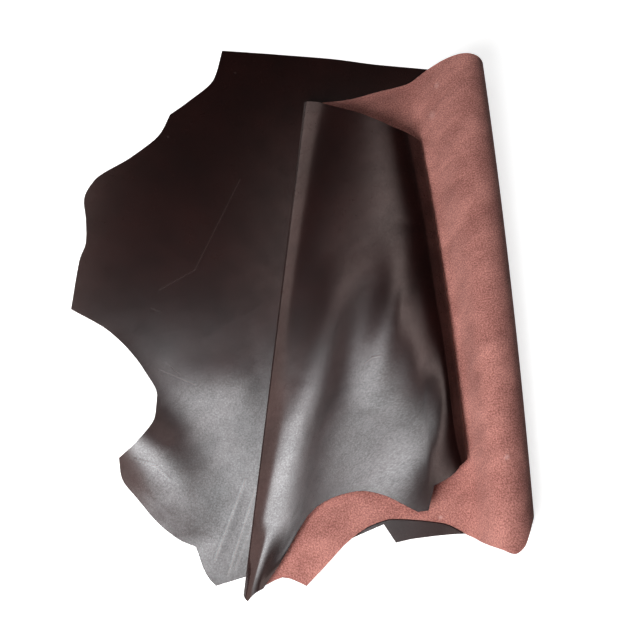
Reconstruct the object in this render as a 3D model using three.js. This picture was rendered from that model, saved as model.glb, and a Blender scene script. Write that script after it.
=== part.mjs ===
// One side of dyed leather, folded into four layers and lying on a flat surface.
// The neck end lies at -X and the spine edge at +Y. The origin is the middle of the base.

import * as THREE from 'three';

// Driving dimensions, in millimetres
const THICKNESS = 2.2;
const PLANE_SPACING = 450;
const FLOOR_LAYER = THICKNESS / 2;

// How finely the sheet is divided
const FLAT_STEP = 38;
const TURN_STEP = THREE.MathUtils.degToRad(19);
const ROW_STEP = 44;
const NECK_COLUMNS = 7;
const SEARCH_STEPS = 600;
const WALK_STEPS = 6000;

// Colour and finish of the grain side
const GRAIN_COLOUR = 0x2a1613;
const GRAIN_ROUGHNESS = 0.38;

// Cross-section of the sheet's middle surface, walked from the neck end to the tail end.
// Each row is one place on the sheet, as [x, z] in three planes: far (y = +450), middle, near.
const SECTION = [
  { place: 'neck', far: [-130, 1.1], middle: [-130, 1.1], near: [-130, 1.1] },
  { place: 'join', far: [-50, 1.1], middle: [-50, 1.1], near: [-50, 1.1] },
  { place: 'floor 1', far: [30, 1.1], middle: [30, 1.1], near: [30, 1.1] },
  { place: 'floor 2', far: [130, 1.1], middle: [130, 1.1], near: [130, 1.1] },
  { place: 'floor 3', far: [232, 1.1], middle: [236, 1.1], near: [240, 1.1] },
  { place: 'floor 4', far: [308, 1.1], middle: [314, 1.1], near: [320, 1.1] },
  { place: 'roll foot', far: [350, 1.1], middle: [362, 1.1], near: [367, 1.1] },
  { place: 'roll lift', far: [384, 3], middle: [397, 3], near: [401, 3] },
  { place: 'roll low', far: [397, 26], middle: [412, 23], near: [415, 20] },
  { place: 'roll side', far: [397, 62], middle: [412, 54], near: [415, 46] },
  { place: 'roll shoulder', far: [384, 90], middle: [396, 79], near: [398, 68] },
  { place: 'roll crest', far: [356, 98], middle: [367, 87], near: [370, 76] },
  { place: 'roll back', far: [325, 85], middle: [345, 78], near: [351, 70] },
  { place: 'slope high', far: [296, 61], middle: [329, 58], near: [339, 52] },
  { place: 'slope', far: [269, 30], middle: [317, 28], near: [329, 26] },
  { place: 'slope low', far: [251, 5.3], middle: [306, 5.3], near: [319, 5.3] },
  { place: 'valley', far: [218, 5.3], middle: [262, 5.3], near: [276, 5.3] },
  { place: 'middle 1', far: [172, 5.3], middle: [190, 5.3], near: [203, 5.3] },
  { place: 'middle 2', far: [115, 5.3], middle: [118, 5.3], near: [121, 5.3] },
  { place: 'middle 3', far: [76, 5.3], middle: [58, 5.3], near: [42, 5.3] },
  { place: 'middle 4', far: [52, 5.3], middle: [16, 5.3], near: [-20, 5.3] },
  { place: 'crease low', far: [32, 5.6], middle: [-7, 5.6], near: [-46, 5.6] },
  { place: 'crease side', far: [23, 15], middle: [-18, 13], near: [-60, 11] },
  { place: 'crease high', far: [31, 27], middle: [-11, 21], near: [-55, 16] },
  { place: 'top 1', far: [60, 37], middle: [18, 27], near: [-43, 18.5] },
  { place: 'top 2', far: [96, 45], middle: [57, 30], near: [-22, 21] },
  { place: 'top 3', far: [136, 51], middle: [102, 33.5], near: [18, 22.5] },
  { place: 'top 4', far: [171, 53], middle: [152, 37], near: [92, 20.5] },
  { place: 'top 5', far: [205, 48], middle: [204, 40], near: [180, 26.5] },
  { place: 'top 6', far: [230, 35], middle: [257, 36], near: [298, 34] },
  { place: 'turn side', far: [244, 21], middle: [288, 22], near: [320, 28] },
  { place: 'turn low', far: [251, 9.6], middle: [299, 9.6], near: [315, 9.6] },
  { place: 'tuck 1', far: [228, 9.4], middle: [270, 9.4], near: [290, 9.4] },
  { place: 'tuck 2', far: [188, 9.4], middle: [222, 9.4], near: [240, 9.4] },
  { place: 'tuck 3', far: [146, 9.6], middle: [172, 9.6], near: [190, 9.6] },
  { place: 'tail', far: [100, 9.8], middle: [122, 9.8], near: [140, 9.8] },
];

// Spine edge as it lies, from the neck to the tail
const SPINE_EDGE = [
  { layer: 'bottom', x: -50, y: 565 },
  { layer: 'bottom', x: 78, y: 552 },
  { layer: 'bottom', x: 186, y: 535 },
  { layer: 'bottom', x: 360, y: 511 },
  { layer: 'middle', x: 388, y: 484 },
  { layer: 'middle', x: 342, y: 488 },
  { layer: 'middle', x: 270, y: 483 },
  { layer: 'middle', x: 240, y: 478 },
  { layer: 'middle', x: 188, y: 463 },
  { layer: 'middle', x: 105, y: 438 },
  { layer: 'middle', x: 20, y: 426 },
  { layer: 'top', x: 50, y: 413 },
  { layer: 'top', x: 83, y: 397 },
  { layer: 'top', x: 132, y: 377 },
  { layer: 'top', x: 174, y: 356 },
  { layer: 'top', x: 212, y: 339 },
  { layer: 'top', x: 250, y: 330 },
  { layer: 'tuck', x: 200, y: 312 },
  { layer: 'tuck', x: 130, y: 290 },
];

// Belly edge as it lies, from the neck to the tail. A corner stays sharp.
const BELLY_EDGE = [
  { layer: 'bottom', x: -50, y: -530 },
  { layer: 'bottom', x: 80, y: -484 },
  { layer: 'bottom', x: 166, y: -448, corner: true },
  { layer: 'bottom', x: 186, y: -479, corner: true },
  { layer: 'bottom', x: 218, y: -472 },
  { layer: 'bottom', x: 304, y: -464 },
  { layer: 'bottom', x: 345, y: -476 },
  { layer: 'bottom', x: 380, y: -484 },
  { layer: 'middle', x: 413, y: -440 },
  { layer: 'middle', x: 401, y: -470 },
  { layer: 'middle', x: 386, y: -500 },
  { layer: 'middle', x: 371, y: -510 },
  { layer: 'middle', x: 353, y: -503 },
  { layer: 'middle', x: 308, y: -468 },
  { layer: 'middle', x: 266, y: -447 },
  { layer: 'middle', x: 181, y: -440 },
  { layer: 'middle', x: 150, y: -448 },
  { layer: 'middle', x: 107, y: -476 },
  { layer: 'middle', x: 68, y: -516 },
  { layer: 'middle', x: 35, y: -551, corner: true },
  { layer: 'middle', x: 17, y: -543 },
  { layer: 'middle', x: -3, y: -537 },
  { layer: 'middle', x: -33, y: -549 },
  { layer: 'top', x: -62, y: -577, corner: true },
  { layer: 'top', x: -37, y: -557, corner: true },
  { layer: 'top', x: -5, y: -510 },
  { layer: 'top', x: 13, y: -475 },
  { layer: 'top', x: 46, y: -427 },
  { layer: 'top', x: 98, y: -401 },
  { layer: 'top', x: 128, y: -396 },
  { layer: 'top', x: 159, y: -402 },
  { layer: 'top', x: 221, y: -433, corner: true },
  { layer: 'top', x: 240, y: -431, corner: true },
  { layer: 'top', x: 244, y: -409 },
  { layer: 'top', x: 252, y: -389, corner: true },
  { layer: 'top', x: 284, y: -370 },
  { layer: 'top', x: 300, y: -352 },
  { layer: 'tuck', x: 290, y: -322 },
  { layer: 'tuck', x: 200, y: -300 },
  { layer: 'tuck', x: 150, y: -290 },
];

// Neck end with its two leg stubs, from the spine corner to the belly corner
const NECK_EDGE = [
  { x: -156, y: 574, corner: true },
  { x: -170, y: 499 },
  { x: -224, y: 436 },
  { x: -258, y: 405, corner: true },
  { x: -274, y: 359 },
  { x: -329, y: 300 },
  { x: -401, y: 242 },
  { x: -416, y: 200 },
  { x: -407, y: 149 },
  { x: -402, y: 99 },
  { x: -410, y: 64 },
  { x: -415, y: -43, corner: true },
  { x: -339, y: -88 },
  { x: -263, y: -172 },
  { x: -239, y: -218 },
  { x: -239, y: -253 },
  { x: -268, y: -308 },
  { x: -296, y: -334, corner: true },
  { x: -290, y: -366 },
  { x: -259, y: -405 },
  { x: -180, y: -476 },
  { x: -154, y: -486, corner: true },
  { x: -131, y: -536 },
  { x: -117, y: -550, corner: true },
];

// Soft ridges raised in the sheet, or troughs where the height is below 0. Each follows a
// path of straight runs, grows from nothing at its start to full height at the middle, and
// fades to nothing at its end.
const RIDGES = [
  {
    layer: 'bottom',
    path: [[-395, -140], [-284, -290], [-238, -335], [-204, -380], [-184, -420], [-168, -480]],
    halfWidth: 60,
    height: 13,
  },
  {
    layer: 'bottom',
    path: [[-230, -180], [-140, -195], [0, -180]],
    halfWidth: 55,
    height: 1.5,
  },
  {
    layer: 'middle',
    path: [[150, -380], [99, -425], [25, -515], [-20, -560]],
    halfWidth: 26,
    height: 5,
  },
  {
    layer: 'top',
    path: [[100, 60], [72, -80], [46, -200], [19, -280], [3, -360], [-6, -445], [-20, -520]],
    halfWidth: 42,
    height: 6,
  },
  {
    layer: 'top',
    path: [[10, -500], [-22, -550], [-44, -590]],
    halfWidth: 14,
    height: -3,
  },
  {
    layer: 'top',
    path: [[222, 120], [200, -20], [172, -130], [148, -250]],
    halfWidth: 34,
    height: 5.5,
  },
  {
    layer: 'top',
    path: [[340, -50], [300, -215], [260, -305], [213, -377], [165, -445]],
    halfWidth: 40,
    height: 7,
  },
];

// The floor layer's ridges die out this far before the crease that lies on it
const CREASE_LINE = { x: -18, slope: 0.088 };
const CREASE_MARGIN = 6;
const CREASE_FADE = 45;
// The top layer's ridges die out over these many places of the section, at its two folds
const CREASE_SIDE_FADE = { start: 0.6, length: 1.5 };
const TURN_SIDE_FADE = { start: 1, length: 0.7 };

const stationAt = (name) => SECTION.findIndex((row) => row.place === name);
const FIRST_STATION = stationAt('join');
const LAST_STATION = stationAt('tail') - 1;
const LAYERS = {
  bottom: [FIRST_STATION, stationAt('roll side')],
  middle: [stationAt('roll side'), stationAt('crease side')],
  top: [stationAt('crease side'), stationAt('turn low')],
  tuck: [stationAt('turn low'), LAST_STATION],
};

// Smooth rise from 0 to 1
function ease(t) {
  return THREE.MathUtils.smoothstep(t, 0, 1);
}

// Weights of the four control rows around a place on a cubic B-spline
function splineWeights(t) {
  const s = 1 - t;
  return [
    (s ** 3) / 6,
    (3 * t ** 3 - 6 * t ** 2 + 4) / 6,
    (3 * s ** 3 - 6 * s ** 2 + 4) / 6,
    (t ** 3) / 6,
  ];
}

// Place of the middle surface at a station along the section, in the plane at y:
// a B-spline through the rows, and a parabola through the three planes.
function sectionPoint(station, y) {
  const start = THREE.MathUtils.clamp(Math.floor(station), 1, SECTION.length - 3);
  const weights = splineWeights(station - start);
  const v = y / PLANE_SPACING;
  const planes = { far: v * (v + 1) / 2, middle: 1 - v * v, near: v * (v - 1) / 2 };
  const point = { x: 0, z: 0 };
  weights.forEach((weight, k) => {
    const row = SECTION[start + k - 1];
    for (const [plane, share] of Object.entries(planes)) {
      point.x += weight * share * row[plane][0];
      point.z += weight * share * row[plane][1];
    }
  });
  return point;
}

// Station of the point of one layer that lies nearest to x in the plane at y
function stationNear({ layer, x, y }) {
  const [from, to] = LAYERS[layer];
  let best = { station: from, gap: Infinity };
  for (let k = 0; k <= SEARCH_STEPS; k++) {
    const station = THREE.MathUtils.lerp(from, to, k / SEARCH_STEPS);
    const gap = Math.abs(sectionPoint(station, y).x - x);
    if (gap < best.gap) best = { station, gap };
  }
  return best.station;
}

// Cubic through one run of knots that never overshoots them
function smoothRun(knots) {
  const steps = knots.slice(1).map((knot, k) => knot.at - knots[k].at);
  const slopes = steps.map((step, k) => (knots[k + 1].value - knots[k].value) / step);
  const tangents = knots.map((knot, k) => {
    if (k === 0) return slopes[0];
    if (k === knots.length - 1) return slopes[k - 1];
    if (slopes[k - 1] * slopes[k] <= 0) return 0;
    const before = 2 * steps[k] + steps[k - 1];
    const after = steps[k] + 2 * steps[k - 1];
    return (before + after) / (before / slopes[k - 1] + after / slopes[k]);
  });
  return (at) => {
    let k = 0;
    while (k < steps.length - 1 && at > knots[k + 1].at) k += 1;
    const t = (at - knots[k].at) / steps[k];
    const start = (1 + 2 * t) * (1 - t) ** 2 * knots[k].value;
    const end = t * t * (3 - 2 * t) * knots[k + 1].value;
    const lean = t * (1 - t) ** 2 * tangents[k] - t * t * (1 - t) * tangents[k + 1];
    return start + end + steps[k] * lean;
  };
}

// Curve through knots of { at, value, corner }, smooth between its corners
function edgeCurve(knots) {
  const sorted = [...knots].sort((a, b) => a.at - b.at);
  const last = sorted.length - 1;
  const corners = sorted.map((knot, k) => k).filter((k) => k === 0 || k === last || sorted[k].corner);
  const runs = corners.slice(1).map((end, k) => {
    return { end: sorted[end].at, curve: smoothRun(sorted.slice(corners[k], end + 1)) };
  });
  return (at) => {
    const inside = THREE.MathUtils.clamp(at, sorted[0].at, sorted[last].at);
    return runs.find((run) => inside <= run.end).curve(inside);
  };
}

// Distance in plan from a point to a path, and the share of the path's length up to there
function nearestOnPath(path, x, y) {
  let best = { off: Infinity, along: 0 };
  let before = 0;
  for (let k = 1; k < path.length; k++) {
    const [fromX, fromY] = path[k - 1];
    const run = [path[k][0] - fromX, path[k][1] - fromY];
    const length = Math.hypot(run[0], run[1]);
    const t = ((x - fromX) * run[0] + (y - fromY) * run[1]) / length ** 2;
    const share = THREE.MathUtils.clamp(t, 0, 1);
    const off = Math.hypot(x - fromX - share * run[0], y - fromY - share * run[1]);
    if (off < best.off) best = { off, along: before + share * length };
    before += length;
  }
  return { off: best.off, share: best.along / before };
}

// Height of the ridges of one layer over a point of the floor
function ridgeHeight(layer, x, y) {
  let height = 0;
  for (const ridge of RIDGES.filter((row) => row.layer === layer)) {
    const { off, share } = nearestOnPath(ridge.path, x, y);
    const taper = Math.sin(Math.PI * share);
    height += ridge.height * taper * Math.exp(-((off / ridge.halfWidth) ** 2));
  }
  return height;
}

// Ridges at one point of the sheet, faded out beside the folds
function relief(station, x, y) {
  if (station < LAYERS.bottom[1]) {
    const crease = CREASE_LINE.x + CREASE_LINE.slope * y;
    return ease((crease - CREASE_MARGIN - x) / CREASE_FADE) * ridgeHeight('bottom', x, y);
  }
  if (station < LAYERS.middle[1]) return ridgeHeight('middle', x, y);
  const [creaseStation, turnStation] = LAYERS.top;
  const fromCrease = (station - creaseStation - CREASE_SIDE_FADE.start) / CREASE_SIDE_FADE.length;
  const fromTurn = (turnStation - TURN_SIDE_FADE.start - station) / TURN_SIDE_FADE.length;
  return ease(fromCrease) * ease(fromTurn) * ridgeHeight('top', x, y);
}

// Stations along the section, closer where the sheet turns, with one at each corner of the belly
function spacedStations(corners) {
  const marks = [FIRST_STATION, ...corners, LAST_STATION];
  const cost = [0];
  const fine = [FIRST_STATION];
  let heading = 0;
  for (let k = 1; k <= WALK_STEPS; k++) {
    const station = THREE.MathUtils.lerp(FIRST_STATION, LAST_STATION, k / WALK_STEPS);
    const a = sectionPoint(fine[k - 1], 0);
    const b = sectionPoint(station, 0);
    const next = Math.atan2(b.z - a.z, b.x - a.x);
    const turn = Math.abs(Math.atan2(Math.sin(next - heading), Math.cos(next - heading)));
    fine.push(station);
    cost.push(cost[k - 1] + Math.hypot(b.x - a.x, b.z - a.z) / FLAT_STEP + turn / TURN_STEP);
    heading = next;
  }
  const costOf = (station) => {
    return cost[Math.round((station - FIRST_STATION) / (LAST_STATION - FIRST_STATION) * WALK_STEPS)];
  };
  const stations = [FIRST_STATION];
  for (let m = 1; m < marks.length; m++) {
    const from = costOf(marks[m - 1]);
    const to = costOf(marks[m]);
    const count = Math.max(1, Math.round(to - from));
    for (let k = 1; k < count; k++) {
      const goal = THREE.MathUtils.lerp(from, to, k / count);
      stations.push(fine[cost.findIndex((value) => value >= goal)]);
    }
    stations.push(marks[m]);
  }
  return stations;
}

// Rows across the sheet, with one at each corner of the neck end
function spacedRows() {
  const corners = NECK_EDGE.filter((row) => row.corner).map((row) => row.y);
  const rows = [corners[0]];
  for (let m = 1; m < corners.length; m++) {
    const count = Math.max(1, Math.round((corners[m - 1] - corners[m]) / ROW_STEP));
    for (let k = 1; k <= count; k++) {
      rows.push(THREE.MathUtils.lerp(corners[m - 1], corners[m], k / count));
    }
  }
  return rows;
}

// Middle surface of the whole sheet, as columns of points from the neck end to the tail end
function middleSurface() {
  const onSheet = (row) => ({ at: stationNear(row), value: row.y, corner: row.corner });
  const spine = edgeCurve(SPINE_EDGE.map(onSheet));
  const bellyKnots = BELLY_EDGE.map(onSheet);
  const belly = edgeCurve(bellyKnots);
  const neck = edgeCurve(NECK_EDGE.map((row) => ({ at: row.y, value: row.x, corner: row.corner })));
  const rows = spacedRows();
  const shares = rows.map((y) => (rows[0] - y) / (rows[0] - rows[rows.length - 1]));

  const corners = bellyKnots.filter((knot) => knot.corner).map((knot) => knot.at);
  const folded = spacedStations(corners).map((station) => {
    return shares.map((share) => {
      const y = THREE.MathUtils.lerp(spine(station), belly(station), share);
      const { x, z } = sectionPoint(station, y);
      return new THREE.Vector3(x, y, z + relief(station, x, y));
    });
  });

  const neckColumns = Array.from({ length: NECK_COLUMNS }, (_, column) => rows.map((y, row) => {
    const share = column / NECK_COLUMNS;
    const point = new THREE.Vector3(neck(y), y, 0).lerp(folded[0][row], share);
    point.z = FLOOR_LAYER + relief(FIRST_STATION, point.x, point.y);
    return point;
  }));
  return [...neckColumns, ...folded];
}

// Unit normals of a grid of points, from its differences along both ways
function gridNormals(columns) {
  const difference = (list, k, pick) => {
    const before = pick(list[Math.max(k - 1, 0)]);
    const after = pick(list[Math.min(k + 1, list.length - 1)]);
    return new THREE.Vector3().subVectors(after, before);
  };
  return columns.map((column, i) => column.map((point, j) => {
    const along = difference(columns, i, (other) => other[j]);
    const across = difference(column, j, (other) => other);
    return across.cross(along).normalize();
  }));
}

// Closed sheet: the middle surface moved half a thickness each way, and a rim that joins the two
function sheetGeometry(columns, thickness) {
  const normals = gridNormals(columns);
  const rowCount = columns[0].length;
  const faceSize = columns.length * rowCount;
  const positions = [];
  for (const side of [1, -1]) {
    columns.forEach((column, i) => column.forEach((point, j) => {
      const moved = point.clone().addScaledVector(normals[i][j], side * thickness / 2);
      positions.push(moved.x, moved.y, moved.z);
    }));
  }

  const index = [];
  const at = (i, j) => i * rowCount + j;
  for (let i = 0; i < columns.length - 1; i++) {
    for (let j = 0; j < rowCount - 1; j++) {
      const [a, b, c, d] = [at(i, j), at(i, j + 1), at(i + 1, j + 1), at(i + 1, j)];
      index.push(a, b, c, a, c, d);
      index.push(a + faceSize, c + faceSize, b + faceSize, a + faceSize, d + faceSize, c + faceSize);
    }
  }
  const rim = [];
  for (let i = 0; i < columns.length - 1; i++) rim.push(at(i, 0));
  for (let j = 0; j < rowCount - 1; j++) rim.push(at(columns.length - 1, j));
  for (let i = columns.length - 1; i > 0; i--) rim.push(at(i, rowCount - 1));
  for (let j = rowCount - 1; j > 0; j--) rim.push(at(0, j));
  rim.forEach((a, k) => {
    const b = rim[(k + 1) % rim.length];
    index.push(a, b, b + faceSize, a, b + faceSize, a + faceSize);
  });

  const geometry = new THREE.BufferGeometry();
  geometry.setAttribute('position', new THREE.Float32BufferAttribute(positions, 3));
  geometry.setIndex(index);
  return geometry;
}

// Move a geometry so that the middle of its base is the origin
function standOnOrigin(geometry) {
  geometry.computeBoundingBox();
  const middle = geometry.boundingBox.getCenter(new THREE.Vector3());
  geometry.translate(-middle.x, -middle.y, -geometry.boundingBox.min.z);
  geometry.computeVertexNormals();
  return geometry;
}

function makeSide() {
  const grain = new THREE.MeshStandardMaterial({
    color: GRAIN_COLOUR,
    roughness: GRAIN_ROUGHNESS,
    metalness: 0,
  });
  const side = new THREE.Mesh(standOnOrigin(sheetGeometry(middleSurface(), THICKNESS)), grain);
  side.name = 'leather_side';
  return side;
}

const leather = new THREE.Group();
leather.add(makeSide());

export default leather;
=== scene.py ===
"""Dresses the folded leather side: a dyed grain face, a suede face and a raw cut edge.

The side is one sheet. Its middle surface is a cross-section of the folds, carried from the
belly edge to the spine edge, cut to the outline of the hide and raised in soft ridges.
"""

import logging
import math
from dataclasses import dataclass
from enum import Enum

import bpy
import numpy as np
from mathutils import Euler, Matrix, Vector


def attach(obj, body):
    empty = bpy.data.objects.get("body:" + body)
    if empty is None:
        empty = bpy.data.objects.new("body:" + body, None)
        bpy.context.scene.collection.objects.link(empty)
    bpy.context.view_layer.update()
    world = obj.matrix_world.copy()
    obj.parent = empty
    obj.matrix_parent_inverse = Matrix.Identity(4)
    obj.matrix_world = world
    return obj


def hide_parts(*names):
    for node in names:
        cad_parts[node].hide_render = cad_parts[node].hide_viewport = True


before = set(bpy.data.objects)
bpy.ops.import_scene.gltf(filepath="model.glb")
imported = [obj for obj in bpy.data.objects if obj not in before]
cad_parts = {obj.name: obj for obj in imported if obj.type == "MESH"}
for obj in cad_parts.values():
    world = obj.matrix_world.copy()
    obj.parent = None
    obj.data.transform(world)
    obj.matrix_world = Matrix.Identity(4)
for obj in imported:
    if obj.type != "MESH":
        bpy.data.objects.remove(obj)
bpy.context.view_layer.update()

LOG = logging.getLogger("leather side")
MM = 0.001
NODE = "leather_side"
SHEET_NAME = "leather_side_sheet"
SHEET_MAP = "sheet"
IMAGE_WIDTH = 640

Pair = tuple[float, float]
Place = tuple[float, float, float]
Colour = tuple[float, float, float, float]
Spread = tuple[float, float, float, float]
Feed = bpy.types.NodeSocket | float | tuple[float, ...]
Inputs = dict[str | int, Feed]
Setting = str | bool | bpy.types.NodeTree

WHITE: Colour = (1.0, 1.0, 1.0, 1.0)

# Thickness of the leather, and distance between the planes of the section, in millimetres
THICKNESS = 2.2
PLANE_SPACING = 450.0

# Cross-section of the middle surface, from the neck end to the tail end, in millimetres.
# Each row is one place on the sheet, as (x, z) in three planes: far (y = +450), middle, near.
SECTION = (
    ("neck", (-130, 1.1), (-130, 1.1), (-130, 1.1)),
    ("join", (-50, 1.1), (-50, 1.1), (-50, 1.1)),
    ("floor 1", (30, 1.1), (30, 1.1), (30, 1.1)),
    ("floor 2", (130, 1.1), (130, 1.1), (130, 1.1)),
    ("floor 3", (232, 1.1), (236, 1.1), (240, 1.1)),
    ("floor 4", (308, 1.1), (314, 1.1), (320, 1.1)),
    ("roll foot", (350, 1.1), (362, 1.1), (367, 1.1)),
    ("roll lift", (384, 3), (397, 3), (401, 3)),
    ("roll low", (397, 26), (412, 23), (415, 20)),
    ("roll side", (397, 62), (412, 54), (415, 46)),
    ("roll shoulder", (384, 90), (396, 79), (398, 68)),
    ("roll crest", (356, 98), (367, 87), (370, 76)),
    ("roll back", (325, 85), (345, 78), (351, 70)),
    ("slope high", (296, 61), (329, 58), (339, 52)),
    ("slope", (269, 30), (317, 28), (329, 26)),
    ("slope low", (251, 5.3), (306, 5.3), (319, 5.3)),
    ("valley", (218, 5.3), (262, 5.3), (276, 5.3)),
    ("middle 1", (172, 5.3), (190, 5.3), (203, 5.3)),
    ("middle 2", (115, 5.3), (118, 5.3), (121, 5.3)),
    ("middle 3", (76, 5.3), (58, 5.3), (42, 5.3)),
    ("middle 4", (52, 5.3), (16, 5.3), (-20, 5.3)),
    ("crease low", (32, 5.6), (-7, 5.6), (-46, 5.6)),
    ("crease side", (23, 15), (-18, 13), (-60, 11)),
    ("crease high", (31, 27), (-11, 21), (-55, 16)),
    ("top 1", (60, 37), (18, 27), (-43, 18.5)),
    ("top 2", (96, 45), (57, 30), (-22, 21)),
    ("top 3", (136, 51), (102, 33.5), (18, 22.5)),
    ("top 4", (171, 53), (152, 37), (92, 20.5)),
    ("top 5", (205, 48), (204, 40), (180, 26.5)),
    ("top 6", (230, 35), (257, 36), (298, 34)),
    ("turn side", (244, 21), (288, 22), (320, 28)),
    ("turn low", (251, 9.6), (299, 9.6), (315, 9.6)),
    ("tuck 1", (228, 9.4), (270, 9.4), (290, 9.4)),
    ("tuck 2", (188, 9.4), (222, 9.4), (240, 9.4)),
    ("tuck 3", (146, 9.6), (172, 9.6), (190, 9.6)),
    ("tail", (100, 9.8), (122, 9.8), (140, 9.8)),
)


class Layer(Enum):
    """Layers of the folded side, each as the places of the section between which it lies."""

    BOTTOM = ("join", "roll side")
    MIDDLE = ("roll side", "crease side")
    TOP = ("crease side", "turn low")
    TUCK = ("turn low", "tuck 3")


# Edges as the side lies, from the neck to the tail: the places (x, y) in each layer
SPINE_EDGE = {
    Layer.BOTTOM: ((-50, 565), (78, 552), (186, 535), (360, 511)),
    Layer.MIDDLE: (
        (388, 484), (342, 488), (270, 483), (240, 478), (188, 463), (105, 438), (20, 426),
    ),
    Layer.TOP: ((50, 413), (83, 397), (132, 377), (174, 356), (212, 339), (250, 330)),
    Layer.TUCK: ((200, 312), (130, 290)),
}
BELLY_EDGE = {
    Layer.BOTTOM: (
        (-50, -530), (80, -484), (166, -448), (186, -479), (218, -472), (304, -464),
        (345, -476), (380, -484),
    ),
    Layer.MIDDLE: (
        (413, -440), (401, -470), (386, -500), (371, -510), (353, -503), (308, -468),
        (266, -447), (181, -440), (150, -448), (107, -476), (68, -516), (35, -551),
        (17, -543), (-3, -537), (-33, -549),
    ),
    Layer.TOP: (
        (-62, -577), (-37, -557), (-5, -510), (13, -475), (46, -427), (98, -401),
        (128, -396), (159, -402), (221, -433), (240, -431), (244, -409), (252, -389),
        (284, -370), (300, -352),
    ),
    Layer.TUCK: ((290, -322), (200, -300), (150, -290)),
}

# Neck end with its two leg stubs, from the spine corner to the belly corner
NECK_EDGE = (
    (-156, 574), (-170, 499), (-224, 436), (-258, 405), (-274, 359), (-329, 300),
    (-401, 242), (-416, 200), (-407, 149), (-402, 99), (-410, 64), (-415, -43),
    (-339, -88), (-263, -172), (-239, -218), (-239, -253), (-268, -308), (-296, -334),
    (-290, -366), (-259, -405), (-180, -476), (-154, -486), (-131, -536), (-117, -550),
)

# Places of the belly edge and the neck end where the edge may turn sharply
CORNERS = {
    (166, -448), (186, -479), (35, -551), (-62, -577), (-37, -557), (221, -433),
    (240, -431), (252, -389), (-156, 574), (-258, 405), (-415, -43), (-296, -334),
    (-154, -486), (-117, -550),
}


@dataclass(frozen=True)
class Ridge:
    """A soft ridge in one layer, or a trough where its height is below 0, in millimetres.

    It follows a path of straight runs. Its height grows from nothing at the start of the
    path to the full height at the middle, and fades to nothing at the end.
    """

    layer: Layer
    path: tuple[Pair, ...]
    half_width: float
    height: float

    def height_at(self, x: np.ndarray, y: np.ndarray) -> np.ndarray:
        """Heights over the points.

        The formula is height times sin(pi t) times exp(-(d / half width) squared). Here d is
        the distance in plan from the path, and t the share of the path up to the place on
        it that lies nearest.

        Args:
            x: plan x of the points.
            y: plan y of the points.

        Returns:
            The ridge's height at each point.
        """
        knots = np.array(self.path, float)
        runs = np.diff(knots, axis=0)
        lengths = np.hypot(runs[:, 0], runs[:, 1])
        before = np.concatenate(([0.0], np.cumsum(lengths)))
        off_x = x[..., None] - knots[:-1, 0]
        off_y = y[..., None] - knots[:-1, 1]
        share = np.clip((off_x * runs[:, 0] + off_y * runs[:, 1]) / lengths**2, 0.0, 1.0)
        gap = np.hypot(off_x - share * runs[:, 0], off_y - share * runs[:, 1])
        nearest = np.argmin(gap, axis=-1)[..., None]
        along = np.take_along_axis(before[:-1] + share * lengths, nearest, axis=-1)[..., 0]
        gap = np.take_along_axis(gap, nearest, axis=-1)[..., 0]
        taper = np.sin(np.pi * along / before[-1])
        return self.height * taper * np.exp(-((gap / self.half_width) ** 2))


# Main ridges and troughs, as (layer, path in plan, half width, height)
RIDGES = (
    Ridge(
        Layer.BOTTOM,
        ((-395, -140), (-284, -290), (-238, -335), (-204, -380), (-184, -420), (-168, -480)),
        60,
        13,
    ),
    Ridge(Layer.BOTTOM, ((-230, -180), (-140, -195), (0, -180)), 55, 1.5),
    Ridge(Layer.MIDDLE, ((150, -380), (99, -425), (25, -515), (-20, -560)), 26, 5),
    Ridge(
        Layer.TOP,
        ((100, 60), (72, -80), (46, -200), (19, -280), (3, -360), (-6, -445), (-20, -520)),
        42,
        6,
    ),
    Ridge(Layer.TOP, ((10, -500), (-22, -550), (-44, -590)), 14, -3),
    Ridge(Layer.TOP, ((222, 120), (200, -20), (172, -130), (148, -250)), 34, 5.5),
    Ridge(Layer.TOP, ((340, -50), (300, -215), (260, -305), (213, -377), (165, -445)), 40, 7),
)

# A dip and a swell, small folds at the tip of the crease, and creases that run to it, all
# too fine for the solid
FINE_FOLDS = (
    Ridge(Layer.TOP, ((150, 20), (128, -100), (112, -200), (98, -300)), 30, -1.0),
    Ridge(Layer.TOP, ((262, 60), (238, -80), (216, -200), (192, -320)), 36, 2.4),
    Ridge(Layer.TOP, ((-22, -450), (-40, -510), (-52, -550), (-62, -595)), 17, 5),
    Ridge(Layer.TOP, ((-8, -505), (-18, -525), (-30, -548)), 7, 1.6),
    Ridge(Layer.BOTTOM, ((-66, -350), (-90, -430), (-122, -515)), 5, 0.7),
    Ridge(Layer.BOTTOM, ((-50, -370), (-72, -450), (-98, -540)), 5, 0.6),
    Ridge(Layer.BOTTOM, ((-38, -390), (-60, -460), (-84, -530)), 5, 0.5),
)


def ease(t: np.ndarray) -> np.ndarray:
    """Smooth rise from 0 to 1: three t squared less two t cubed, with t held to 0 and 1."""
    held = np.clip(t, 0.0, 1.0)
    return held * held * (3.0 - 2.0 * held)


def even_runs(marks: np.ndarray, step: float) -> np.ndarray:
    """Places from the first mark to the last, evenly spread between each two marks.

    Args:
        marks: the marks in order, rising or falling.
        step: distance that two places are to be apart, about.

    Returns:
        The places, with one at each mark.
    """
    runs = []
    for start, end in zip(marks[:-1], marks[1:]):
        count = max(2, round(abs(end - start) / step) + 1)
        runs.append(np.linspace(start, end, count)[:-1])
    return np.concatenate((*runs, marks[-1:]))


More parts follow.
